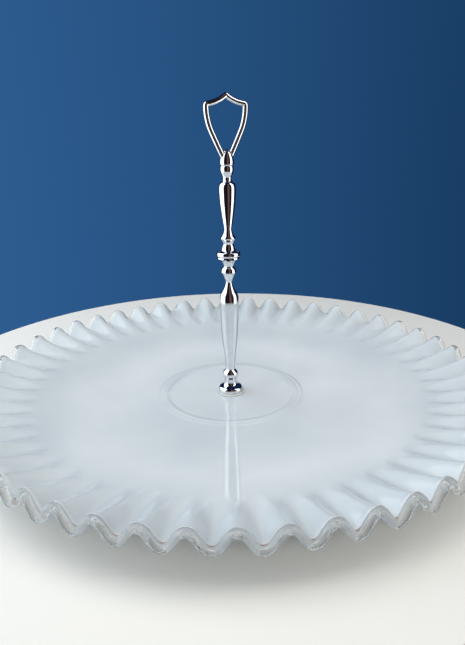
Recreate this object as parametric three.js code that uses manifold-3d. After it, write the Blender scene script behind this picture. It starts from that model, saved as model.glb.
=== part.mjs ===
// Cake stand: a low crimped milk-glass plate with a screw-together chrome handle at its centre.
// Millimetres, +Z up. The origin is on the table, under the centre of the plate's foot ring.
// Pieces that touch in the real object are drawn 0.3 mm apart.
import * as THREE from "three";
import Module from "manifold-3d";

const wasm = await Module();
wasm.setup();

const GAP = 0.3;

// Glass plate.
const PLATE_TOP = 13.5;
const PLATE_THICKNESS = 5;
const RIM_THICKNESS = 3.7;
const HOLE_RADIUS = 3.2;
const FLAT_RADIUS = 38;
const FOOT_RADIUS = [42.5, 46];
const WASHER_SEAT = 12;
const FLUTE_START = 124;
const EDGE_RADIUS = 159.2;
const EDGE_HALF_WIDTH = 1.9;
const RIM_RADIUS = EDGE_RADIUS - EDGE_HALF_WIDTH - GAP;
const RIM_RISE = 12.05;
const CRIMP_COUNT = 50;
const CRIMP_HEIGHT = 4.5;
const CRIMP_PHASE = 0.0105 - Math.PI / 2;
const STEPS_PER_CRIMP = 6;
const INNER_STEPS = 100;

// Clear edge that runs round the crimped rim. Each pair is a corner of its section.
const EDGE_SECTION = [
  [-1.9, 1.3],
  [-1, 1.9],
  [0.9, 1.8],
  [1.9, 0.8],
  [1.9, -0.9],
  [0.9, -1.8],
  [-1.9, -1.6],
];

// Handle. Heights are above the plate's centre; each pair is radius, height.
const WASHER_TOP = 1;
const FLANGE_BOTTOM = WASHER_TOP + GAP;
const LOWER_SPINDLE = [
  [7.3, FLANGE_BOTTOM],
  [7.6, 1.9],
  [7.6, 2.9],
  [7.1, 3.9],
  [4.6, 5.5],
  [3.7, 7.6],
  [4.3, 10.8],
  [4.9, 12.2],
  [4.7, 13.6],
  [3, 15.8],
  [2.8, 17.2],
  [3.4, 24.7],
  [4.4, 32.8],
  [5.1, 40.7],
  [5.5, 50],
  [5.8, 62],
  [5.2, 66],
  [3.9, 68],
  [2.1, 71.8],
  [1.8, 73.2],
  [2.6, 75.7],
  [4, 78.9],
  [4.65, 79.8],
  [4.2, 81.8],
  [2.9, 83.5],
  [3.3, 84.9],
  [4.6, 87.1],
  [6.9, 88.5],
  [6.8, 88.95],
];
const UPPER_SPINDLE = [
  [6.7, 89.25],
  [7.1, 90],
  [7.15, 91.2],
  [6.6, 92.1],
  [4.5, 93],
  [3.7, 94.6],
  [3, 97],
  [4.3, 99.5],
  [4.6, 100.4],
  [3.9, 101.6],
  [2.2, 105.5],
  [3.3, 112],
  [4.65, 121],
  [5.05, 128.5],
  [4.7, 131.4],
  [2.9, 133.6],
  [2.3, 135],
  [3.5, 138.3],
  [3.9, 139.4],
  [3.95, 141],
  [3.6, 142.1],
];
const DOME = [
  [3.7, 142.4],
  [4.05, 143.2],
  [4, 145],
  [3.6, 147],
  [2.7, 149],
  [1.6, 150.5],
];
const DOME_TOP = 151.3;
const SCREW_BORE = { radius: 2.4, from: FLANGE_BOTTOM, to: 13.2 };
const LOWER_JOINT_BORE = { radius: 1.9, from: 83, to: 88.95 };
const UPPER_JOINT_BORE = { radius: 1.9, from: 89.25, to: 95.6 };
const FINIAL_BORE = { radius: 1.45, from: 138.4, to: 142.1 };
const DOME_BORE = { radius: 1.45, from: 142.4, to: 145.1 };
const JOINING_STUD = { radius: 1.6, from: 83.3, to: 95.3 };
const FINIAL_STUD = { radius: 1.15, from: 138.7, to: 144.8 };

// Loop handle: centre line of its right half, from the peak down to the dome.
const ROD_RADIUS = 1.55;
const LOOP_TURN = THREE.MathUtils.degToRad(24);
const LOOP_HALF = [
  [0.5, 180],
  [3.2, 178.2],
  [6.2, 176.7],
  [9.3, 175.8],
  [11.4, 175.4],
  [12.1, 174.6],
  [11.8, 170.5],
  [10.8, 165.4],
  [8.1, 158.8],
  [4.6, 151.7],
  [2.4, 147.3],
];
const LOOP_PEAK = [0, 180.2];
const SOCKET_RADIUS = ROD_RADIUS + GAP;
const SOCKET_LENGTH = 12;

// Clamping parts. Heights below the plate are above the table.
const FLANGE_WASHER = { inner: 2.6, outer: 9, from: GAP, to: WASHER_TOP };
const PLATE_UNDERSIDE = PLATE_TOP - PLATE_THICKNESS;
const RUBBER_WASHER = { inner: 2.6, outer: 9.5, thickness: 1.2 };
const CUP_WASHER = { inner: 2.5, outer: 8.2, lip: 1.3, thickness: 0.8 };
const SCREW = { radius: 2.08, head: 4, headHeight: 2.3, top: PLATE_TOP + 12.4 };
const SLOT = { width: 1, depth: 1.1 };

const milkGlass = new THREE.MeshStandardMaterial({ color: 0xe9eef2, roughness: 0.08 });
const clearGlass = new THREE.MeshStandardMaterial({ color: 0xdfe9ec, roughness: 0.04 });
const chrome = new THREE.MeshStandardMaterial({ color: 0xd5d8dc, metalness: 1, roughness: 0.1 });
const steel = new THREE.MeshStandardMaterial({ color: 0xb4b6b8, metalness: 1, roughness: 0.35 });
const rubber = new THREE.MeshStandardMaterial({ color: 0x26262a, roughness: 0.8 });
const vinyl = new THREE.MeshStandardMaterial({ color: 0xdfe3e6, roughness: 0.3 });

const stand = new THREE.Group();

function addMesh(name, geometry, material) {
  const mesh = new THREE.Mesh(geometry, material);
  mesh.name = name;
  stand.add(mesh);
}

function toSolid(geometry) {
  const flat = geometry.index ? geometry.toNonIndexed() : geometry;
  const mesh = new wasm.Mesh({
    numProp: 3,
    vertProperties: new Float32Array(flat.attributes.position.array),
    triVerts: Uint32Array.from({ length: flat.attributes.position.count }, (_, i) => i),
  });
  mesh.merge();
  return new wasm.Manifold(mesh);
}

function toGeometry(solid) {
  const mesh = solid.getMesh();
  const geometry = new THREE.BufferGeometry();
  geometry.setAttribute("position", new THREE.BufferAttribute(mesh.vertProperties, 3));
  geometry.setIndex(new THREE.BufferAttribute(mesh.triVerts, 1));
  geometry.computeVertexNormals();
  return geometry;
}

function cylinder(radius, from, to, segments = 24) {
  const geometry = new THREE.CylinderGeometry(radius, radius, to - from, segments);
  geometry.rotateX(Math.PI / 2);
  geometry.translate(0, 0, (from + to) / 2);
  return geometry;
}

// Turned piece: the profile is a list of radius, height that runs upwards on the outside.
function turned(profile, segments, lift = PLATE_TOP) {
  const points = profile.map(([radius, height]) => new THREE.Vector2(radius, height + lift));
  const geometry = new THREE.LatheGeometry(points, segments);
  geometry.rotateX(Math.PI / 2);
  return geometry;
}

// Round bar with one blind bore that opens at its lower end, and perhaps one at its upper end.
function boredProfile(outline, lowerBore, upperBore) {
  const start = [
    [0, lowerBore.to],
    [lowerBore.radius, lowerBore.to],
    [lowerBore.radius, lowerBore.from],
  ];
  const end = [
    [upperBore.radius, upperBore.to],
    [upperBore.radius, upperBore.from],
    [0, upperBore.from],
  ];
  return [...start, ...outline, ...end];
}

function stud({ radius, from, to }) {
  return cylinder(radius, from + PLATE_TOP, to + PLATE_TOP);
}

function washerProfile({ inner, outer, from, to }) {
  return [
    [inner, from],
    [outer, from],
    [outer, to],
    [inner, to],
    [inner, from],
  ];
}

// Shape of the plate.

function crimpWave(angle) {
  return Math.cos(CRIMP_COUNT * (angle - CRIMP_PHASE));
}

function bowlRise(radius) {
  const reach = Math.max(0, radius - FLAT_RADIUS) / (RIM_RADIUS - FLAT_RADIUS);
  return RIM_RISE * reach ** 2.27;
}

function fluteDepth(radius) {
  const reach = Math.max(0, radius - FLUTE_START) / (RIM_RADIUS - FLUTE_START);
  return CRIMP_HEIGHT * reach ** 1.2;
}

function topHeight(radius, angle) {
  return PLATE_TOP + bowlRise(radius) + fluteDepth(radius) * crimpWave(angle);
}

function edgeHeight(angle) {
  return PLATE_TOP + RIM_RISE - EDGE_HALF_WIDTH + CRIMP_HEIGHT * crimpWave(angle);
}

// A ring is a closed row of points, each placed by a function of its angle that gives radius and height.
function ring(steps, place) {
  const points = [];
  for (let i = 0; i < steps; i++) {
    const angle = CRIMP_PHASE + (2 * Math.PI * i) / steps;
    const [radius, height] = place(angle);
    points.push([radius * Math.cos(angle), radius * Math.sin(angle), height]);
  }
  return points;
}

// Band of triangles between two rings, which may have different numbers of points.
function stitch(rowA, rowB, startA, startB, triangles) {
  let i = 0;
  let j = 0;
  while (i < rowA.length || j < rowB.length) {
    const a = startA + (i % rowA.length);
    const b = startB + (j % rowB.length);
    const stepB = i === rowA.length || (j + 1) / rowB.length <= (i + 1) / rowA.length;
    if (stepB) {
      j += 1;
      triangles.push(a, b, startB + (j % rowB.length));
    } else {
      i += 1;
      triangles.push(a, b, startA + (i % rowA.length));
    }
  }
}

// Closed body made of rings that follow one another round its section.
function ringBody(rings) {
  const triangles = [];
  const starts = [];
  let count = 0;
  for (const row of rings) {
    starts.push(count);
    count += row.length;
  }
  rings.forEach((row, i) => {
    const next = (i + 1) % rings.length;
    stitch(row, rings[next], starts[i], starts[next], triangles);
  });
  const geometry = new THREE.BufferGeometry();
  const positions = new Float32Array(rings.flat(2));
  geometry.setAttribute("position", new THREE.BufferAttribute(positions, 3));
  geometry.setIndex(triangles);
  geometry.computeVertexNormals();
  return geometry;
}

function glassPlate() {
  const rimSteps = CRIMP_COUNT * STEPS_PER_CRIMP;
  const underside = (radius, angle) => {
    const reach = Math.max(0, radius - FLUTE_START) / (RIM_RADIUS - FLUTE_START);
    const thickness = PLATE_THICKNESS + (RIM_THICKNESS - PLATE_THICKNESS) * Math.min(1, reach);
    return topHeight(radius, angle) - thickness;
  };
  const top = (steps, radius) => ring(steps, (angle) => [radius, topHeight(radius, angle)]);
  const under = (steps, radius) => ring(steps, (angle) => [radius, underside(radius, angle)]);
  const flat = (steps, radius, height) => ring(steps, () => [radius, height]);
  const edge = (offset) => ring(rimSteps, (angle) => [RIM_RADIUS, edgeHeight(angle) + offset]);
  return ringBody([
    flat(INNER_STEPS / 2, HOLE_RADIUS, PLATE_TOP),
    flat(INNER_STEPS / 2, WASHER_SEAT, PLATE_TOP),
    top(INNER_STEPS, FLAT_RADIUS),
    top(INNER_STEPS, 70),
    top(INNER_STEPS, 98),
    top(INNER_STEPS, FLUTE_START),
    top(rimSteps, 134),
    top(rimSteps, 146),
    edge(1.7),
    edge(-1.7),
    under(rimSteps, 146),
    under(rimSteps, 134),
    under(INNER_STEPS, FLUTE_START),
    under(INNER_STEPS, 90),
    under(INNER_STEPS, FOOT_RADIUS[1] + 1.5),
    flat(INNER_STEPS, FOOT_RADIUS[1], 0),
    flat(INNER_STEPS, FOOT_RADIUS[0], 0),
    flat(INNER_STEPS, FOOT_RADIUS[0] - 1, PLATE_UNDERSIDE),
    flat(INNER_STEPS / 2, HOLE_RADIUS, PLATE_UNDERSIDE),
  ]);
}

function crestEdge() {
  const steps = CRIMP_COUNT * STEPS_PER_CRIMP;
  const corner = ([out, up]) => ring(steps, (angle) => [EDGE_RADIUS + out, edgeHeight(angle) + up]);
  return ringBody(EDGE_SECTION.map(corner));
}

// Loop handle and the finial it is set in.

function loopPoint([across, height]) {
  const x = across * Math.cos(LOOP_TURN);
  const y = across * Math.sin(LOOP_TURN);
  return new THREE.Vector3(x, y, height + PLATE_TOP);
}

function loopHandle() {
  const left = LOOP_HALF.map(([across, height]) => [-across, height]).reverse();
  const path = new THREE.CatmullRomCurve3([...left, LOOP_PEAK, ...LOOP_HALF].map(loopPoint));
  const section = new THREE.Shape();
  section.absarc(0, 0, ROD_RADIUS, 0, 2 * Math.PI);
  return new THREE.ExtrudeGeometry(section, { steps: 44, curveSegments: 10, extrudePath: path });
}

function armSocket(side) {
  const end = LOOP_HALF.at(-1);
  const above = LOOP_HALF.at(-2);
  const from = loopPoint([side * end[0], end[1]]);
  const along = loopPoint([side * above[0], above[1]]).sub(from).normalize();
  const tool = cylinder(SOCKET_RADIUS, -GAP, SOCKET_LENGTH, 20);
  tool.applyQuaternion(new THREE.Quaternion().setFromUnitVectors(new THREE.Vector3(0, 0, 1), along));
  tool.translate(from.x, from.y, from.z);
  return toSolid(tool);
}

function finialDome() {
  const profile = [
    [0, DOME_BORE.to],
    [DOME_BORE.radius, DOME_BORE.to],
    [DOME_BORE.radius, DOME_BORE.from],
    ...DOME,
    [0, DOME_TOP],
  ];
  let dome = toSolid(turned(profile, 28));
  for (const side of [-1, 1]) dome = dome.subtract(armSocket(side));
  return toGeometry(dome);
}

// Clamping parts under the plate.

function cupWasher(top) {
  const { inner, outer, lip, thickness } = CUP_WASHER;
  return turned(
    [
      [inner, top - thickness],
      [outer - 2, top - thickness],
      [outer - 1, top - lip],
      [outer, top - lip],
      [outer, top],
      [inner, top],
      [inner, top - thickness],
    ],
    32,
    0,
  );
}

function baseScrew(headTop) {
  const headBottom = headTop - SCREW.headHeight;
  const profile = [
    [0, headBottom],
    [1.8, headBottom + 0.3],
    [3.3, headBottom + 1],
    [SCREW.head, headTop - 0.4],
    [SCREW.head, headTop],
    [SCREW.radius, headTop],
    [SCREW.radius, SCREW.top - 0.6],
    [SCREW.radius - 0.6, SCREW.top],
    [0, SCREW.top],
  ];
  const slot = new THREE.BoxGeometry(3 * SCREW.head, SLOT.width, 2 * SLOT.depth);
  slot.translate(0, 0, headBottom);
  return toGeometry(toSolid(turned(profile, 24, 0)).subtract(toSolid(slot)));
}

const rubberTop = PLATE_UNDERSIDE - GAP;
const cupTop = rubberTop - RUBBER_WASHER.thickness - GAP;
const headTop = cupTop - CUP_WASHER.thickness - GAP;

addMesh("glass_plate", glassPlate(), milkGlass);
addMesh("crest_edge", crestEdge(), clearGlass);
addMesh("flange_washer", turned(washerProfile(FLANGE_WASHER), 32), vinyl);
addMesh("lower_spindle", turned(boredProfile(LOWER_SPINDLE, SCREW_BORE, LOWER_JOINT_BORE), 24), chrome);
addMesh("joining_stud", stud(JOINING_STUD), steel);
addMesh("upper_spindle", turned(boredProfile(UPPER_SPINDLE, UPPER_JOINT_BORE, FINIAL_BORE), 24), chrome);
addMesh("finial_stud", stud(FINIAL_STUD), steel);
addMesh("finial_dome", finialDome(), chrome);
addMesh("loop_handle", loopHandle(), chrome);
addMesh(
  "rubber_washer",
  turned(washerProfile({ ...RUBBER_WASHER, from: rubberTop - RUBBER_WASHER.thickness, to: rubberTop }), 32, 0),
  rubber,
);
addMesh("cup_washer", cupWasher(cupTop), steel);
addMesh("base_screw", baseScrew(headTop), steel);

export default stand;
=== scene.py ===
"""Cake stand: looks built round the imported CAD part.

Metres, +Z up, origin on the table under the centre of the plate's foot ring.
"""

import math

import bpy
import numpy as np
from mathutils import Euler, Matrix, Vector

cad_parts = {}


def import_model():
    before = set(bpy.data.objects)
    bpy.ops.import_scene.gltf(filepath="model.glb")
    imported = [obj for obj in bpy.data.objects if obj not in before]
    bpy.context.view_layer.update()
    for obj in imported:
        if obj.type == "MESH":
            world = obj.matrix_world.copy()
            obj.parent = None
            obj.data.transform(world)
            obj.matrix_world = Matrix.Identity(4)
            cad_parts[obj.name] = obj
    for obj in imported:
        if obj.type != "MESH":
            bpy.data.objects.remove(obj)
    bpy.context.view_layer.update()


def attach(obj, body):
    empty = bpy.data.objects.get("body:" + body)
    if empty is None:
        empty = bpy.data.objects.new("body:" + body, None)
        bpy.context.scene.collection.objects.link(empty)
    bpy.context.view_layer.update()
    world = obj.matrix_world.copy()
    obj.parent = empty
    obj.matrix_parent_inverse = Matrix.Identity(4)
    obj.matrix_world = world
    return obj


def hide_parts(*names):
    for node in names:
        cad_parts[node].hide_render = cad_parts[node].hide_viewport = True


MM = 0.001
SAME = 1e-6
SHARP_DEGREES = 35.0

# Glass plate, in millimetres. Heights of the handle's parts are above PLATE_TOP.
PLATE_TOP = 13.5
PLATE_THICKNESS = 5.0
RIM_THICKNESS = 3.4
THINNING_START = 100.0
THINNING_SPAN = 50.0
HOLE_RADIUS = 3.2
HOLE_BEVEL = 0.3
FLAT_RADIUS = 38.0
BOWL_CURVE = 2.27
EDGE_RADIUS = 159.1
EDGE_REACH = 2.1
EDGE_RISE = 10.15
CRIMP_COUNT = 50
CRIMP_HEIGHT = 4.5
CRIMP_ROUNDNESS = 0.04
CRIMP_PHASE = 0.0105 - math.pi / 2
CRIMP_STEPS = 16
VALLEY_START = 121.0
RIDGE_START = 129.0
RIDGE_SPREAD = 1.5
CREASE_SOFTNESS = 0.006
SCOOP_SHARE = 0.6
RING_RADIUS = 42.0
RING_WIDTH = 2.8
RING_HEIGHT = 0.5
OUTER_RING_GAP = 3.2
FOOT_INNER = 42.5
FOOT_OUTER = 46.0

# Unevenness of the crimps' spacing and height: size, number of waves round the rim, and start.
SPACING_WAVES = [(0.2, 3, 0.6), (0.16, 7, 2.1), (0.1, 13, 4.0)]
HEIGHT_WAVES = [(0.04, 5, 1.0), (0.03, 11, 0.0)]
FRONT = -math.pi / 2

# Radii of the rings of points in the plate's faces, closest over the raised ring and in the crimps.
UPPER_RADII = [
    *[HOLE_RADIUS + HOLE_BEVEL, 8, 14, 22, 30, 35],
    *np.arange(36.5, 48.5, 0.6),
    *np.arange(50, 114, 4.5),
    *np.arange(115, 156.6, 1.6),
]
LOWER_RADII = [*np.arange(FOOT_OUTER + 4, 114, 6.0), *np.arange(114, 156, 2.8)]
RADIUS_STEP = 0.05
ANGLE_STEP = 0.0004

# End of the milk glass in the clear edge: its rings, how far it starts behind the edge, how far it bulges.
END_RINGS = 9
END_SETBACK = 0.3
END_BULGE = 0.7

# Painted amber refraction tint on that end, standing in for light seen through the glass: its rings, and how
# it grows from the least value towards the troughs.
PAINTED_TINT_RINGS = (1, 2)
PAINTED_TINT_SLOPE = 3.5
PAINTED_TINT_START = 2.3
PAINTED_TINT_LEAST = 0.12

# Outlines below are lists of points; a third value marks a sharp corner.
CORNER = True

# Section of the clear edge, outwards and up from the rim's centre line. Its lower half is the same.
EDGE_SECTION = [
    (-2.1, 1.6, CORNER),
    (-1.2, 1.78),
    (-0.2, 1.8),
    (0.8, 1.6),
    (1.6, 1.12),
    (2.0, 0.5),
    (2.1, 0.0),
]

# Turned parts: radius, height.
LOWER_SPINDLE = [
    (7.2, 1.05, CORNER),
    (7.5, 1.25),
    (7.62, 2.1),
    (7.5, 3.2),
    (6.9, 4.1),
    (5.5, 4.9),
    (4.2, 5.9),
    (3.65, 7.6),
    (3.8, 9.4),
    (4.35, 10.7),
    (4.9, 12.2),
    (4.7, 13.7),
    (3.8, 15.0),
    (2.9, 15.9, CORNER),
    (2.75, 17.2),
    (3.0, 20.8),
    (3.4, 24.7),
    (3.9, 28.8),
    (4.4, 32.8),
    (4.8, 36.8),
    (5.1, 40.7),
    (5.4, 48.0),
    (5.65, 55.0),
    (5.8, 61.5),
    (5.6, 64.4),
    (5.0, 66.3),
    (3.9, 68.1),
    (2.85, 70.0),
    (2.1, 71.9),
    (1.85, 73.2, CORNER),
    (2.0, 74.2),
    (2.6, 75.8),
    (3.3, 77.6),
    (4.0, 78.9),
    (4.6, 79.65, CORNER),
    (4.62, 80.1, CORNER),
    (4.2, 81.8),
    (3.55, 82.7),
    (2.95, 83.4, CORNER),
    (3.2, 84.6),
    (3.8, 85.9),
    (4.6, 87.1),
    (5.6, 87.85),
    (6.85, 88.3, CORNER),
    (6.9, 88.95, CORNER),
    (6.6, 89.1, CORNER),
]
UPPER_SPINDLE = [
    (6.6, 89.15, CORNER),
    (6.95, 89.6),
    (7.12, 90.4),
    (7.12, 91.4),
    (6.8, 92.1),
    (5.8, 92.6),
    (4.6, 93.1),
    (3.9, 94.3),
    (3.5, 95.8),
    (3.0, 96.9, CORNER),
    (3.3, 97.9),
    (3.9, 99.1),
    (4.5, 99.9, CORNER),
    (4.6, 100.4, CORNER),
    (4.2, 101.2),
    (3.3, 102.5),
    (2.6, 103.9),
    (2.2, 105.6, CORNER),
    (2.5, 107.5),
    (3.3, 112.0),
    (4.0, 116.6),
    (4.6, 121.2),
    (4.9, 125.4),
    (5.05, 128.9),
    (4.8, 131.2),
    (4.0, 132.6),
    (2.9, 133.6),
    (2.35, 134.6, CORNER),
    (2.45, 135.6),
    (3.0, 137.1),
    (3.55, 138.3),
    (3.8, 139.0, CORNER),
    (3.92, 139.8),
    (3.92, 140.9),
    (3.75, 141.6),
    (3.5, 142.15, CORNER),
]
DOME = [
    (3.5, 142.2, CORNER),
    (3.85, 142.6),
    (4.05, 143.4),
    (4.0, 145.0),
    (3.6, 147.0),
    (2.8, 149.0),
    (1.7, 150.4),
    (0.0, 151.3),
]
# Bores of the turned parts: radius, height of the flat end.
SCREW_BORE = (2.4, 13.2)
LOWER_JOINT_BORE = (1.9, 83.0)
UPPER_JOINT_BORE = (1.9, 95.6)
FINIAL_BORE = (1.45, 138.4)
DOME_BORE = (1.45, 145.1)
TURNED_SEGMENTS = 96

# Loop handle: centre line of one half, from the peak to the dome, across and up. Bends are rounded.
ROD_RADIUS = 1.55
LOOP_TURN = math.radians(24)
LOOP_HALF = [
    (0.0, 180.15, CORNER),
    (1.6, 179.0),
    (3.4, 177.95),
    (6.4, 176.7),
    (9.2, 175.95),
    (11.9, 175.5, CORNER),
    (12.0, 173.2),
    (11.7, 169.6),
    (10.8, 165.4),
    (9.6, 162.0),
    (8.1, 158.8),
    (6.4, 155.3),
    (4.6, 151.7),
    (3.3, 149.1),
    (2.4, 147.3),
]
LOOP_BEND = 1.1
LOOP_BEND_POINTS = 40
LOOP_ARC_POINTS = 9
ROD_SEGMENTS = 32
SOCKET_ROOM = 0.12
SOCKET_LENGTH = 10.0
SOCKET_BOTTOM = 0.3
SOCKET_SEGMENTS = 48

# Clamping parts. Heights are above the table. Plain washers: inner radius, outer radius, low, high.
BEVEL = 0.2
FLANGE_WASHER = (2.6, 9.0, PLATE_TOP + 0.02, PLATE_TOP + 1.0)
RUBBER_WASHER = (2.6, 9.5, 7.0, 8.2)
CUP_WASHER = [
    (2.5, 5.9, CORNER),
    (5.7, 5.9),
    (6.3, 5.75),
    (6.8, 5.45),
    (7.2, 5.4, CORNER),
    (8.0, 5.4),
    (8.2, 5.6),
    (8.2, 6.5),
    (8.0, 6.7, CORNER),
    (2.5, 6.7, CORNER),
]
SCREW_HEAD = [
    (0.0, 3.3),
    (1.2, 3.38),
    (2.4, 3.75),
    (3.3, 4.35),
    (3.85, 5.0),
    (4.0, 5.45, CORNER),
    (3.9, 5.6, CORNER),
    (2.1, 5.6, CORNER),
]
SCREW_THREAD_LOW = 5.7
SCREW_TOP = PLATE_TOP + 12.4
SCREW_TIP = 0.02
WASHER_SEGMENTS = 72

# Slot of the screw: length of the cutter, width, depth.
SLOT = (12.0, 1.0, 1.1)

# Threads: outer radius, core radius, pitch. Studs: lower end and upper end before these.
SCREW_THREAD = (2.08, 1.62, 0.79375)
JOINING_STUD = (83.3, 95.3, 1.6, 1.22, 0.65)
FINIAL_STUD = (138.7, 144.8, 1.15, 0.85, 0.5)
THREAD_SEGMENTS = 36
THREAD_ROWS_PER_TURN = 8
THREAD_FLAT = 1.25
THREAD_FLANK = 2.6
THREAD_FADE = 0.15

# Materials. Noise is taken to run from its low to its high value.
NOISE_LOW = 0.3
NOISE_HIGH = 0.7
MILK_SHADE = (0.505, 0.56, 0.605)
MILK_LIGHT = (0.55, 0.605, 0.64)
# Painted amber refraction tint for the milk glass's end, strongest in the troughs.
PAINTED_REFRACTION_AMBER = (0.36, 0.19, 0.12)

# Table, in millimetres, with a rounded upper edge.
TABLE_RADIUS = 239.0
TABLE_THICKNESS = 18.0
TABLE_EDGE = 2.0
TABLE_ROUNDING = 0.6
TABLE_SEGMENTS = 192

# Stage, in metres. Panels stand on a circle round the object: 0 degrees is in front, 90 on the right.
TABLE_CENTRE = (0, 0.038, 0)
PANEL_RADIUS = 0.9
BACK_STRIP_RADIUS = 0.8
PANEL_STEPS = 24
PANEL_FADE = 2
TALL = (-0.7, 1.9)
BACK_STRIP = (0.33, 0.385, 0.44)
WHITE = (1, 1, 1)
COOL_WHITE = (0.86, 0.94, 1.0)
SOFT_WHITE = (1, 0.99, 0.97)
WARM_WHITE = (1.0, 0.96, 0.9)
WARMEST_WHITE = (1.0, 0.92, 0.76)
BLACK_BROWN = (0.012, 0.007, 0.01)
DARK_BROWN = (0.02, 0.012, 0.012)
BROWN = (0.13, 0.08, 0.07)
WALL_LEFT = (0.027, 0.107, 0.275)
WALL_RIGHT = (0.009, 0.045, 0.122)
CEILING_BLUE = (0.004, 0.012, 0.035)
NAVY = (0.008, 0.018, 0.06)

# Where the world's wall colour changes across, and where it turns to the ceiling's going up.
WALL_SPAN = (-0.35, 0.4)
CEILING_SPAN = (0.45, 0.75)

# Camera: place in millimetres, and the lens in pixels of the picture's height.
CAMERA_AT = (0.3, -349.9, 167.0 + PLATE_TOP)
CAMERA_PITCH = math.radians(18.915)
CAMERA_YAW = math.radians(-0.245)
CAMERA_ROLL = math.radians(-0.892)
FOCAL_PIXELS = 591.73
IMAGE_HEIGHT = 645
SENSOR = 36.0
CLIP_START = 0.01


# ---------------------------------------------------------------- meshes

def smooth_outline(points, spacing=0.12, signed=False):
    """Points along a smooth curve through the given ones, which breaks only at the corners."""
    runs = []
    run = [points[0]]
    for point in points[1:]:
        run.append(point)
        if len(point) > 2:
            runs.append(run)
            run = [point]
    if len(run) > 1:
        runs.append(run)
    outline = []
    for run in runs:
        knots = [np.array(p[:2], float) for p in run]
        ends = [2 * knots[0] - knots[1], *knots, 2 * knots[-1] - knots[-2]]
        for i in range(1, len(ends) - 2):
            p0, p1, p2, p3 = ends[i - 1:i + 3]
            count = max(1, round(float(np.linalg.norm(p2 - p1)) / spacing / 3))
            for k in range(count):
                t = k / count
                curve = 2 * p1 + (p2 - p0) * t
                curve = curve + (2 * p0 - 5 * p1 + 4 * p2 - p3) * t ** 2
                curve = curve + (3 * p1 - p0 - 3 * p2 + p3) * t ** 3
                outline.append(curve / 2)
    outline.append(np.array(points[-1][:2], float))
    lowest = -math.inf if signed else 0.0
    return [(max(lowest, float(p[0])), float(p[1])) for p in outline]


def new_object(name, vertices, faces, sharp_degrees=SHARP_DEGREES):
    mesh = bpy.data.meshes.new(name)
    mesh.from_pydata([tuple(v) for v in vertices], [], faces)
    mesh.validate()
    mesh.update()
    for polygon in mesh.polygons:
        polygon.use_smooth = True
    mesh.set_sharp_from_angle(angle=math.radians(sharp_degrees))
    made = bpy.data.objects.new(name, mesh)
    bpy.context.scene.collection.objects.link(made)
    return made


def lathe(name, outline, lift, segments=TURNED_SEGMENTS):
    """Body of revolution. The outline runs from axis to axis, or closes on itself; millimetres."""
    vertices = []
    rows = []
    for radius, height in outline:
        z = (height + lift) * MM
        if radius < SAME:
            rows.append([len(vertices)])
            vertices.append((0.0, 0.0, z))
            continue
        row = []
        for i in range(segments):
            angle = 2 * math.pi * i / segments
            row.append(len(vertices))
            vertices.append((radius * MM * math.cos(angle), radius * MM * math.sin(angle), z))
        rows.append(row)
    faces = []
    for low, high in zip(rows, rows[1:]):
        for i in range(segments):
            j = (i + 1) % segments
            if len(low) == 1:
                faces.append((low[0], high[j], high[i]))
            elif len(high) == 1:
                faces.append((low[i], low[j], high[0]))
            else:
                faces.append((low[i], low[j], high[j], high[i]))
    if len(rows[0]) > 1:
        for i in range(segments):
            j = (i + 1) % segments
            faces.append((rows[-1][i], rows[-1][j], rows[0][j], rows[0][i]))
    return new_object(name, vertices, faces)


def grid_body(name, rings, sharp_degrees=60.0):
    """Closed body from rings of equal length that follow one another round its section; metres."""
    steps = len(rings[0])
    vertices = np.concatenate(rings)
    faces = []
    count = len(rings)
    for r in range(count):
        a = r * steps
        b = ((r + 1) % count) * steps
        for i in range(steps):
            j = (i + 1) % steps
            faces.append((a + i, b + i, b + j, a + j))
    return new_object(name, vertices, faces, sharp_degrees)


def place(made, node, body):
    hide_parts(node)
    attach(made, body)
    return made


# ---------------------------------------------------------------- plate

def crimp_angles():
    steps = CRIMP_COUNT * CRIMP_STEPS
    return CRIMP_PHASE + 2 * np.pi * np.arange(steps) / steps


def waves(table, angles):
    return sum(size * np.sin(count * angles + start) for size, count, start in table)


def hand_wobble(angles):
    """Small uneven spacing of the crimps, in radians of one crimp; the widest wave is nil in front."""
    return waves(SPACING_WAVES, angles) - waves(SPACING_WAVES[:1], FRONT)


def crimp_phase(angles):
    return CRIMP_COUNT * (angles - CRIMP_PHASE) + hand_wobble(angles)


def rim_wave(angles):
    """+1 at the crests and -1 in the troughs of the rim, rounder than a plain wave at both."""
    phase = crimp_phase(angles)
    return (np.cos(phase) - CRIMP_ROUNDNESS * np.cos(3 * phase)) / (1 - CRIMP_ROUNDNESS)


def ridge_wave(angles):
    """The same crimps where they begin, as broad scoops with narrow ridges between them."""
    return 1 - 2 * np.abs(np.sin(crimp_phase(angles) / 2))


def reach(radius, start):
    """0 up to the start, then rising evenly to 1 at the rim, with a soft bend at the start."""
    share = (radius - start) / (EDGE_RADIUS - start)
    return (share + np.sqrt(share ** 2 + CREASE_SOFTNESS ** 2)) / 2


def thickness(radius):
    thinned = np.clip((radius - THINNING_START) / THINNING_SPAN, 0, 1)
    return PLATE_THICKNESS + (RIM_THICKNESS - PLATE_THICKNESS) * thinned


def crimp_height(angles):
    return CRIMP_HEIGHT * (1 + waves(HEIGHT_WAVES, angles))


def middle_height(radius, angles):
    """Height above the table of the surface half way through the glass."""
    bowl = np.maximum(0.0, radius - FLAT_RADIUS) / (EDGE_RADIUS - FLAT_RADIUS)
    rise = (EDGE_RISE + RIM_THICKNESS / 2) * bowl ** BOWL_CURVE
    ridge = (1 + ridge_wave(angles)) / 2
    out = reach(radius, VALLEY_START + (RIDGE_START - VALLEY_START) * ridge ** RIDGE_SPREAD)
    blend = np.clip((1 + SCOOP_SHARE) * out - SCOOP_SHARE, 0, 1)
    wave = blend * rim_wave(angles) + (1 - blend) * ridge_wave(angles)
    return PLATE_TOP - thickness(radius) / 2 + rise + crimp_height(angles) * out * wave


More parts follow.
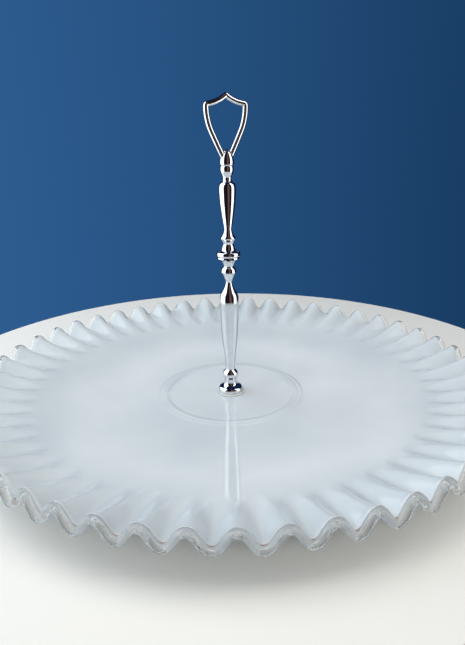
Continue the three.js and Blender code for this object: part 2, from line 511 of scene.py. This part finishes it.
def swell(radius, centre, width, height):
    return height * np.exp(-2 * ((radius - centre) / width) ** 2)


def ring_relief(radius):
    """Low raised ring in the upper face, over the foot, with a smaller one outside it."""
    inner = swell(radius, RING_RADIUS, RING_WIDTH, RING_HEIGHT)
    return inner + swell(radius, RING_RADIUS + OUTER_RING_GAP, RING_WIDTH / 2, RING_HEIGHT / 2)


def glass_surface(radius, angles, side):
    """Points of the upper (side 1) or lower (side -1) face, half the thickness off the middle surface."""
    step = RADIUS_STEP
    spin = ANGLE_STEP
    height = middle_height(radius, angles)
    outward = middle_height(radius + step, angles) - middle_height(radius - step, angles)
    outward = outward / (2 * step)
    around = middle_height(radius, angles + spin) - middle_height(radius, angles - spin)
    around = around / (2 * spin * radius)
    length = np.sqrt(1 + outward ** 2 + around ** 2)
    offset = side * thickness(radius) / 2 / length
    relief = ring_relief(radius) if side > 0 else 0.0
    return shifted_ring(radius, height + relief, angles, -outward * offset, -around * offset, offset)


def shifted_ring(radius, height, angles, outward, around, up):
    """Ring of points at a radius and height, moved outwards, round and up; millimetres to metres."""
    cos = np.cos(angles)
    sin = np.sin(angles)
    x = (radius + outward) * cos - around * sin
    y = (radius + outward) * sin + around * cos
    return np.stack([x, y, np.broadcast_to(height + up, angles.shape)], 1) * MM


def ring_points(radius, height, angles):
    return shifted_ring(radius, height, angles, 0.0, 0.0, 0.0)


def edge_frame(angles):
    """The rim's centre line: its height, and the around and up parts of the direction square to it."""
    spin = ANGLE_STEP
    height = PLATE_TOP + EDGE_RISE + crimp_height(angles) * rim_wave(angles)
    ahead = crimp_height(angles + spin) * rim_wave(angles + spin)
    behind = crimp_height(angles - spin) * rim_wave(angles - spin)
    slope = (ahead - behind) / (2 * spin * EDGE_RADIUS)
    length = np.sqrt(1 + slope ** 2)
    return height, -slope / length, 1 / length


def edge_ring(angles, outward, up):
    """Points of the rim at a place in its section, square to its centre line."""
    height, around_part, up_part = edge_frame(angles)
    return shifted_ring(EDGE_RADIUS, height, angles, outward, up * around_part, up * up_part)


def milk_end_rings(angles):
    """The rounded end of the milk glass, from its upper to its lower face."""
    half = RIM_THICKNESS / 2
    rings = []
    for turn in np.linspace(math.pi / 2, -math.pi / 2, END_RINGS):
        outward = -EDGE_REACH - END_SETBACK + END_BULGE * math.cos(turn)
        rings.append(edge_ring(angles, outward, half * math.sin(turn)))
    return rings


def foot_outline():
    """Radius and height from outside the foot ring to the hole."""
    underside = PLATE_TOP - PLATE_THICKNESS
    return [
        (FOOT_OUTER + 1.6, underside + 0.1),
        (FOOT_OUTER + 0.5, underside - 1.6),
        (FOOT_OUTER, 1.2),
        (FOOT_OUTER - 0.3, 0.35),
        (FOOT_OUTER - 0.9, 0.0),
        (FOOT_INNER + 0.9, 0.0),
        (FOOT_INNER + 0.3, 0.35),
        (FOOT_INNER, 1.2),
        (FOOT_INNER - 0.5, underside - 1.6),
        (FOOT_INNER - 1.6, underside),
        (30, underside),
        (12, underside),
        (HOLE_RADIUS + HOLE_BEVEL, underside),
        (HOLE_RADIUS, underside + HOLE_BEVEL),
    ]


def milk_glass_plate():
    angles = crimp_angles()
    rings = [ring_points(HOLE_RADIUS, PLATE_TOP - HOLE_BEVEL, angles)]
    rings += [glass_surface(radius, angles, 1) for radius in UPPER_RADII]
    painted_tint = [len(rings) + ring for ring in PAINTED_TINT_RINGS]
    rings += milk_end_rings(angles)
    rings += [glass_surface(radius, angles, -1) for radius in reversed(LOWER_RADII)]
    rings += [ring_points(radius, height, angles) for radius, height in foot_outline()]
    plate = grid_body("milk_glass_plate", rings)
    # Paints the amber refraction tint on the end's rings, strongest in the troughs.
    mark_painted_tint(plate, painted_tint, np.clip(-PAINTED_TINT_SLOPE * rim_wave(angles) - PAINTED_TINT_START, PAINTED_TINT_LEAST, 1))
    return place(plate, "glass_plate", "plate")


def mark_painted_tint(plate, rings, values):
    """Paints an amber refraction tint on the cut edge of the milk glass, strongest in the troughs."""
    marks = plate.data.attributes.new("painted_tint", "FLOAT", "POINT")
    everywhere = np.zeros(len(plate.data.vertices), np.float32)
    for ring in rings:
        everywhere[ring * len(values):(ring + 1) * len(values)] = values
    marks.data.foreach_set("value", everywhere)


def clear_edge():
    angles = crimp_angles()
    upper = smooth_outline(EDGE_SECTION, spacing=0.15, signed=True)
    lower = [(out, -up) for out, up in reversed(upper[:-1])]
    rings = [edge_ring(angles, out, up) for out, up in upper + lower]
    return place(grid_body("clear_crest_edge", rings), "crest_edge", "plate")


# ---------------------------------------------------------------- handle

def blind_bore(bore, mouth):
    """Outline of a flat-ended bore, from its bottom on the axis to its mouth."""
    radius, bottom = bore
    return [(0.0, bottom), (radius, bottom), (radius, mouth)]


def spindle(name, node, outline, lower_bore, upper_bore):
    outside = smooth_outline(outline)
    profile = blind_bore(lower_bore, outside[0][1]) + outside
    profile += reversed(blind_bore(upper_bore, outside[-1][1]))
    return place(lathe(name, profile, PLATE_TOP), node, "handle")


def loop_point(across, height):
    x = across * math.cos(LOOP_TURN)
    y = across * math.sin(LOOP_TURN)
    return Vector((x, y, height + PLATE_TOP)) * MM


def loop_path():
    right = smooth_outline(LOOP_HALF, spacing=0.2)
    left = [(-x, z) for x, z in reversed(right)]
    line = left[:-1] + right
    marked = []
    for i, point in enumerate(line):
        corner = any(
            abs(abs(point[0]) - c[0]) < SAME and abs(point[1] - c[1]) < SAME
            for c in LOOP_HALF if len(c) > 2
        )
        marked.append((*point, CORNER) if corner else point)
    return cut_corners(marked, LOOP_BEND)


def cut_corners(points, bend):
    """Replaces what lies within bend of each corner by a smooth arc."""
    flat = [np.array(p[:2], float) for p in points]
    corners = [i for i, p in enumerate(points) if len(p) > 2]
    path = []
    i = 0
    while i < len(flat):
        near = [
            c for c in corners
            if np.linalg.norm(flat[i] - flat[c]) < bend and abs(i - c) < LOOP_BEND_POINTS
        ]
        if not near:
            path.append(flat[i])
            i += 1
            continue
        corner = near[0]
        last = i
        while last + 1 < len(flat) and np.linalg.norm(flat[last + 1] - flat[corner]) < bend:
            last += 1
        start = flat[i]
        end = flat[last]
        for t in np.linspace(0, 1, LOOP_ARC_POINTS):
            path.append((1 - t) ** 2 * start + 2 * t * (1 - t) * flat[corner] + t ** 2 * end)
        i = last + 1
    return path


def loop_handle():
    centre = [loop_point(p[0], p[1]) for p in loop_path()]
    normal = Vector((-math.sin(LOOP_TURN), math.cos(LOOP_TURN), 0))
    vertices = []
    rows = []
    for i, point in enumerate(centre):
        before = centre[max(0, i - 1)]
        after = centre[min(len(centre) - 1, i + 1)]
        along = (after - before).normalized()
        side = along.cross(normal).normalized()
        row = []
        for k in range(ROD_SEGMENTS):
            turn = 2 * math.pi * k / ROD_SEGMENTS
            offset = (side * math.cos(turn) + normal * math.sin(turn)) * ROD_RADIUS * MM
            row.append(len(vertices))
            vertices.append(point + offset)
        rows.append(row)
    faces = []
    for low, high in zip(rows, rows[1:]):
        for k in range(ROD_SEGMENTS):
            j = (k + 1) % ROD_SEGMENTS
            faces.append((low[k], high[k], high[j], low[j]))
    faces.append(tuple(rows[0]))
    faces.append(tuple(reversed(rows[-1])))
    made = new_object("rod_loop", vertices, faces, sharp_degrees=50.0)
    return place(made, "loop_handle", "handle")


def finial():
    outside = smooth_outline(DOME)
    profile = blind_bore(DOME_BORE, outside[0][1]) + outside
    made = lathe("finial_cap", profile, PLATE_TOP)
    for side in (-1, 1):
        cut_socket(made, side)
    return place(made, "finial_dome", "handle")


def cut_socket(dome, side):
    """Cuts the hole that one end of the loop is set in."""
    low = loop_point(side * LOOP_HALF[-1][0], LOOP_HALF[-1][1])
    high = loop_point(side * LOOP_HALF[-3][0], LOOP_HALF[-3][1])
    along = (high - low).normalized()
    radius = (ROD_RADIUS + SOCKET_ROOM) * MM
    length = SOCKET_LENGTH * MM
    bpy.ops.mesh.primitive_cylinder_add(vertices=SOCKET_SEGMENTS, radius=radius, depth=length)
    tool = bpy.context.active_object
    tool.rotation_mode = "QUATERNION"
    tool.rotation_quaternion = along.to_track_quat("Z", "Y")
    tool.location = low + along * (SOCKET_LENGTH / 2 - SOCKET_BOTTOM) * MM
    subtract(dome, tool)


# ---------------------------------------------------------------- clamping parts

def washer(name, node, body, material_slot, inner, outer, low, high):
    profile = [
        (inner, low + BEVEL),
        (inner + BEVEL, low),
        (outer - BEVEL, low),
        (outer, low + BEVEL),
        (outer, high - BEVEL),
        (outer - BEVEL, high),
        (inner + BEVEL, high),
        (inner, high - BEVEL),
    ]
    made = lathe(name, profile, 0.0, WASHER_SEGMENTS)
    return place(made, node, body)


def cup_washer():
    outline = smooth_outline(CUP_WASHER, spacing=0.3)
    made = lathe("pressed_cup_washer", outline, 0.0, WASHER_SEGMENTS)
    return place(made, "cup_washer", "clamp_washers")


def thread_rows(major, minor, pitch, low, high):
    """Rings of radii up a screw thread, as (height, radii), fading to the core at the upper end."""
    turns = np.arange(THREAD_SEGMENTS) / THREAD_SEGMENTS
    rows = []
    count = math.ceil((high - low) / pitch * THREAD_ROWS_PER_TURN)
    for i in range(count + 1):
        height = low + (high - low) * i / count
        share = (height / pitch - turns) % 1.0
        crest = np.clip(THREAD_FLAT - THREAD_FLANK * np.abs(share - 0.5), 0, 1)
        fade = min(1.0, (high - height) / pitch + THREAD_FADE)
        rows.append((height, minor + (major - minor) * crest * fade))
    return rows


def radial_body(name, rows):
    """Closed body from rings of radii up the axis, with a flat fan at each end; millimetres."""
    vertices = []
    turns = 2 * np.pi * np.arange(THREAD_SEGMENTS) / THREAD_SEGMENTS
    for height, radii in rows:
        radii = np.broadcast_to(radii, turns.shape)
        for turn, radius in zip(turns, radii):
            vertices.append((radius * MM * math.cos(turn), radius * MM * math.sin(turn), height * MM))
    faces = [tuple(reversed(range(THREAD_SEGMENTS)))]
    for r in range(len(rows) - 1):
        for i in range(THREAD_SEGMENTS):
            j = (i + 1) % THREAD_SEGMENTS
            low = r * THREAD_SEGMENTS
            high = low + THREAD_SEGMENTS
            faces.append((low + i, low + j, high + j, high + i))
    last = (len(rows) - 1) * THREAD_SEGMENTS
    faces.append(tuple(range(last, last + THREAD_SEGMENTS)))
    return new_object(name, vertices, faces, sharp_degrees=40.0)


def threaded_stud(name, node, low, high, major, minor, pitch):
    rows = thread_rows(major, minor, pitch, low + PLATE_TOP, high + PLATE_TOP)
    return place(radial_body(name, rows), node, "handle")


def base_screw():
    major, minor, pitch = SCREW_THREAD
    head = [(height, max(radius, SCREW_TIP)) for radius, height in smooth_outline(SCREW_HEAD, spacing=0.3)]
    thread = thread_rows(major, minor, pitch, SCREW_THREAD_LOW, SCREW_TOP)
    made = radial_body("slotted_base_screw", head + thread)
    length, width, depth = SLOT
    bpy.ops.mesh.primitive_cube_add(size=1.0)
    tool = bpy.context.active_object
    tool.scale = (length * MM, width * MM, 2 * depth * MM)
    tool.location = (0, 0, SCREW_HEAD[0][1] * MM)
    subtract(made, tool)
    return place(made, "base_screw", "screw")


def subtract(target, tool):
    """Cuts the tool out of the target and removes the tool."""
    bpy.context.view_layer.update()
    cut = target.modifiers.new("cut", "BOOLEAN")
    cut.operation = "DIFFERENCE"
    cut.solver = "EXACT"
    cut.object = tool
    bpy.context.view_layer.objects.active = target
    bpy.ops.object.modifier_apply(modifier=cut.name)
    bpy.data.objects.remove(tool)
    target.data.set_sharp_from_angle(angle=math.radians(SHARP_DEGREES))


# ---------------------------------------------------------------- materials

def new_material(name):
    material = bpy.data.materials.new(name)
    material.use_nodes = True
    nodes = material.node_tree.nodes
    links = material.node_tree.links
    shader = nodes["Principled BSDF"]
    return material, nodes, links, shader


def noise(nodes, links, scale, detail):
    where = nodes.new("ShaderNodeTexCoord")
    texture = nodes.new("ShaderNodeTexNoise")
    texture.inputs["Scale"].default_value = scale
    texture.inputs["Detail"].default_value = detail
    links.new(where.outputs["Object"], texture.inputs["Vector"])
    return texture.outputs["Fac"]


def ramp(nodes, links, source, stops):
    made = nodes.new("ShaderNodeValToRGB")
    elements = made.color_ramp.elements
    while len(elements) < len(stops):
        elements.new(0.5)
    for element, (position, colour) in zip(elements, stops):
        element.position = position
        element.color = (*colour, 1.0)
    links.new(source, made.inputs["Fac"])
    return made.outputs["Color"]


def map_range(nodes, links, source, given, wanted=(0.0, 1.0)):
    """Carries the values of one range over to another, and holds them at its ends."""
    made = nodes.new("ShaderNodeMapRange")
    made.inputs["From Min"].default_value = given[0]
    made.inputs["From Max"].default_value = given[1]
    made.inputs["To Min"].default_value = wanted[0]
    made.inputs["To Max"].default_value = wanted[1]
    links.new(source, made.inputs["Value"])
    return made.outputs["Result"]


def tones(nodes, links, shader, source, dark, light, light_at=NOISE_HIGH):
    """Base colour that follows a noise from a dark tone to a light one."""
    colour = ramp(nodes, links, source, [(NOISE_LOW, dark), (light_at, light)])
    links.new(colour, shader.inputs["Base Color"])


def roughness(nodes, links, shader, source, low, high):
    """Roughness that follows a noise between two values."""
    value = map_range(nodes, links, source, (NOISE_LOW, NOISE_HIGH), (low, high))
    links.new(value, shader.inputs["Roughness"])


def colour_mix(nodes, links, factor, first, second):
    """Changes from the first colour, linked, to the second, a plain one."""
    mix = nodes.new("ShaderNodeMix")
    mix.data_type = "RGBA"
    links.new(factor, mix.inputs["Factor"])
    links.new(first, mix.inputs["A"])
    mix.inputs["B"].default_value = (*second, 1.0)
    return mix.outputs["Result"]


def bump(nodes, links, source, shader, strength, distance):
    made = nodes.new("ShaderNodeBump")
    made.inputs["Strength"].default_value = strength
    made.inputs["Distance"].default_value = distance
    links.new(source, made.inputs["Height"])
    links.new(made.outputs["Normal"], shader.inputs["Normal"])


def milk_glass_material():
    material, nodes, links, shader = new_material("milk_glass")
    cloud = noise(nodes, links, scale=28.0, detail=3.0)
    milk = ramp(nodes, links, cloud, [(NOISE_LOW, MILK_SHADE), (NOISE_HIGH, MILK_LIGHT)])
    # Painted amber refraction tint, mixed over the milk tone where the attribute marks the glass's end.
    painted_tint = nodes.new("ShaderNodeAttribute")
    painted_tint.attribute_name = "painted_tint"
    colour = colour_mix(nodes, links, painted_tint.outputs["Fac"], milk, PAINTED_REFRACTION_AMBER)
    links.new(colour, shader.inputs["Base Color"])
    roughness(nodes, links, shader, noise(nodes, links, scale=190.0, detail=2.0), low=0.012, high=0.035)
    shader.inputs["IOR"].default_value = 1.5
    shader.inputs["Subsurface Weight"].default_value = 0.15
    shader.inputs["Subsurface Radius"].default_value = (0.002, 0.0022, 0.0025)
    shader.inputs["Subsurface Scale"].default_value = 1.0
    bump(nodes, links, noise(nodes, links, scale=40.0, detail=1.5), shader, strength=0.04, distance=0.0005)
    return material


def clear_glass_material():
    material, nodes, links, shader = new_material("clear_glass")
    cloud = noise(nodes, links, scale=60.0, detail=2.0)
    tones(nodes, links, shader, cloud, (0.95, 0.965, 0.96), (0.98, 0.99, 0.985))
    roughness(nodes, links, shader, cloud, low=0.0, high=0.03)
    shader.inputs["Transmission Weight"].default_value = 0.86
    shader.inputs["IOR"].default_value = 1.34
    bump(nodes, links, noise(nodes, links, scale=70.0, detail=0.0), shader, strength=0.02, distance=0.0003)
    return material


def chrome_material():
    material, nodes, links, shader = new_material("chrome")
    cloud = noise(nodes, links, scale=130.0, detail=4.0)
    tones(nodes, links, shader, cloud, (0.8, 0.805, 0.82), (0.88, 0.885, 0.9), light_at=0.6)
    shader.inputs["Metallic"].default_value = 1.0
    shader.inputs["Specular Tint"].default_value = (0.42, 0.45, 0.52, 1.0)
    roughness(nodes, links, shader, noise(nodes, links, scale=420.0, detail=3.0), low=0.02, high=0.07)
    bump(nodes, links, noise(nodes, links, scale=300.0, detail=1.0), shader, strength=0.012, distance=0.00004)
    return material


def steel_material():
    material, nodes, links, shader = new_material("zinc_steel")
    cloud = noise(nodes, links, scale=300.0, detail=4.0)
    tones(nodes, links, shader, cloud, (0.46, 0.47, 0.48), (0.6, 0.61, 0.62))
    shader.inputs["Metallic"].default_value = 1.0
    roughness(nodes, links, shader, cloud, low=0.25, high=0.45)
    bump(nodes, links, noise(nodes, links, scale=1200.0, detail=2.0), shader, strength=0.15, distance=0.0001)
    return material


def rubber_material():
    material, nodes, links, shader = new_material("rubber")
    cloud = noise(nodes, links, scale=500.0, detail=4.0)
    tones(nodes, links, shader, cloud, (0.018, 0.018, 0.02), (0.035, 0.035, 0.037))
    roughness(nodes, links, shader, cloud, low=0.6, high=0.85)
    bump(nodes, links, cloud, shader, strength=0.3, distance=0.0002)
    return material


def vinyl_material():
    material, nodes, links, shader = new_material("clear_vinyl")
    cloud = noise(nodes, links, scale=300.0, detail=2.0)
    tones(nodes, links, shader, cloud, (0.7, 0.74, 0.76), (0.78, 0.81, 0.82))
    roughness(nodes, links, shader, cloud, low=0.1, high=0.22)
    shader.inputs["Transmission Weight"].default_value = 0.25
    shader.inputs["IOR"].default_value = 1.45
    bump(nodes, links, cloud, shader, strength=0.05, distance=0.0001)
    return material


def paint(target, material):
    target.data.materials.clear()
    target.data.materials.append(material)


# ---------------------------------------------------------------- stage

def soft_box(name, location, width, height, power, colour):
    """Area light that faces the origin; the camera and reflections don't see it."""
    data = bpy.data.lights.new(name, "AREA")
    data.shape = "RECTANGLE"
    data.size = width
    data.size_y = height
    data.energy = power
    data.color = colour
    made = bpy.data.objects.new(name, data)
    made.location = location
    made.rotation_euler = (-Vector(location)).to_track_quat("-Z", "Y").to_euler()
    made.visible_camera = False
    made.visible_glossy = False
    bpy.context.scene.collection.objects.link(made)


def floor():
    """Pale round table top."""
    material, nodes, links, shader = new_material("floor")
    cloud = noise(nodes, links, scale=3.0, detail=4.0)
    tones(nodes, links, shader, cloud, (0.68, 0.685, 0.67), (0.72, 0.725, 0.71))
    shader.inputs["Roughness"].default_value = 0.8
    outline = [
        (0, -TABLE_THICKNESS),
        (TABLE_RADIUS - TABLE_EDGE, -TABLE_THICKNESS),
        (TABLE_RADIUS, TABLE_EDGE - TABLE_THICKNESS),
        (TABLE_RADIUS, -TABLE_EDGE),
        (TABLE_RADIUS - TABLE_ROUNDING, -TABLE_ROUNDING),
        (TABLE_RADIUS - TABLE_EDGE, 0),
        (0, 0),
    ]
    made = lathe("floor", outline, 0.0, TABLE_SEGMENTS)
    made.location = TABLE_CENTRE
    paint(made, material)


def panel_mesh(name, start, end, heights, radius):
    """Upright piece of a cylinder. Its fade is 0 at the ends, and at the outer ones of three heights."""
    vertices = []
    fades = []
    rows = len(heights)
    for i in range(PANEL_STEPS + 1):
        turn = math.radians(start + (end - start) * i / PANEL_STEPS)
        for k, height in enumerate(heights):
            vertices.append((radius * math.sin(turn), -radius * math.cos(turn), height))
            edge = 0.0 if rows > 2 and k in (0, rows - 1) else 1.0
            fades.append(min(edge, i / PANEL_FADE, (PANEL_STEPS - i) / PANEL_FADE))
    faces = []
    for i in range(PANEL_STEPS):
        for k in range(rows - 1):
            corner = i * rows + k
            faces.append((corner, corner + 1, corner + rows + 1, corner + rows))
    made = new_object(name, vertices, faces)
    made.data.attributes.new("fade", "FLOAT", "POINT").data.foreach_set("value", fades)
    return made


def panel_material(name, colour, strength):
    """Light that dims to navy where the panel fades."""
    material = bpy.data.materials.new(name)
    material.use_nodes = True
    nodes = material.node_tree.nodes
    links = material.node_tree.links
    nodes.clear()
    fade = nodes.new("ShaderNodeAttribute")
    fade.attribute_name = "fade"
    glow = nodes.new("ShaderNodeEmission")
    glow.inputs["Strength"].default_value = strength
    tone = ramp(nodes, links, fade.outputs["Fac"], [(0.0, NAVY), (1.0, colour)])
    links.new(tone, glow.inputs["Color"])
    out = nodes.new("ShaderNodeOutputMaterial")
    links.new(glow.outputs["Emission"], out.inputs["Surface"])
    return material


def panel(name, start, end, heights, colour, strength=1.0, lights_object=False, radius=PANEL_RADIUS):
    """Curved studio panel round the object. Unless it lights the object, only reflections show it."""
    made = panel_mesh(name, start, end, heights, radius)
    paint(made, panel_material(name, colour, strength))
    made.visible_camera = False
    made.visible_shadow = False
    made.visible_transmission = lights_object
    made.visible_diffuse = lights_object


def world():
    """Plain blue wall all round, a little darker on the right and dark overhead."""
    made = bpy.data.worlds.new("studio")
    made.use_nodes = True
    nodes = made.node_tree.nodes
    links = made.node_tree.links
    where = nodes.new("ShaderNodeTexCoord")
    split = nodes.new("ShaderNodeSeparateXYZ")
    links.new(where.outputs["Generated"], split.inputs["Vector"])
    across = map_range(nodes, links, split.outputs["X"], WALL_SPAN)
    overhead = map_range(nodes, links, split.outputs["Z"], CEILING_SPAN)
    wall = ramp(nodes, links, across, [(0.0, WALL_LEFT), (1.0, WALL_RIGHT)])
    colour = colour_mix(nodes, links, overhead, wall, CEILING_BLUE)
    links.new(colour, nodes["Background"].inputs["Color"])
    bpy.context.scene.world = made


def lights():
    panel("left_panel", -134, -50, TALL, COOL_WHITE, strength=2.2, lights_object=True)
    panel("right_panel", 58, 100, TALL, SOFT_WHITE, strength=1.9, lights_object=True)
    panel("dark_panel", -56, 4, TALL, BLACK_BROWN)
    panel("brown_panel", 2, 30, TALL, BROWN)
    panel("other_dark_panel", 28, 62, TALL, DARK_BROWN)
    panel("back_panel", 98, 228, TALL, NAVY)
    panel("back_strip", 158, 201, BACK_STRIP, WHITE, strength=0.9, radius=BACK_STRIP_RADIUS)
    soft_box("top_box", (-0.1, 0.0, 1.2), width=1.1, height=1.1, power=9.5, colour=WARM_WHITE)
    soft_box("front_fill", (0, -0.9, 0.45), width=0.9, height=0.4, power=4, colour=WARMEST_WHITE)


def camera():
    data = bpy.data.cameras.new("camera")
    data.sensor_width = SENSOR
    data.lens = FOCAL_PIXELS / IMAGE_HEIGHT * SENSOR
    data.clip_start = CLIP_START
    made = bpy.data.objects.new("camera", data)
    turn = Euler((0, 0, CAMERA_YAW)).to_matrix()
    tilt = Euler((math.pi / 2 - CAMERA_PITCH, 0, 0)).to_matrix()
    roll = Euler((0, 0, CAMERA_ROLL)).to_matrix()
    made.matrix_world = Matrix.Translation(Vector(CAMERA_AT) * MM) @ (turn @ tilt @ roll).to_4x4()
    bpy.context.scene.collection.objects.link(made)
    bpy.context.scene.camera = made


# ---------------------------------------------------------------- scene

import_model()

milk = milk_glass_material()
clear = clear_glass_material()
chrome = chrome_material()
steel = steel_material()
rubber = rubber_material()
vinyl = vinyl_material()

paint(milk_glass_plate(), milk)
paint(clear_edge(), clear)
lower_bores = (SCREW_BORE, LOWER_JOINT_BORE)
upper_bores = (UPPER_JOINT_BORE, FINIAL_BORE)
paint(spindle("lower_turned_spindle", "lower_spindle", LOWER_SPINDLE, *lower_bores), chrome)
paint(spindle("upper_turned_spindle", "upper_spindle", UPPER_SPINDLE, *upper_bores), chrome)
paint(finial(), chrome)
paint(loop_handle(), chrome)
paint(threaded_stud("threaded_joining_stud", "joining_stud", *JOINING_STUD), steel)
paint(threaded_stud("threaded_finial_stud", "finial_stud", *FINIAL_STUD), steel)
paint(washer("clear_flange_washer", "flange_washer", "handle", "clear_vinyl", *FLANGE_WASHER), vinyl)
paint(washer("rubber_clamp_washer", "rubber_washer", "clamp_washers", "rubber", *RUBBER_WASHER), rubber)
paint(cup_washer(), steel)
paint(base_screw(), steel)

camera()
floor()
world()
lights()
bpy.context.scene.view_settings.view_transform = "Standard"
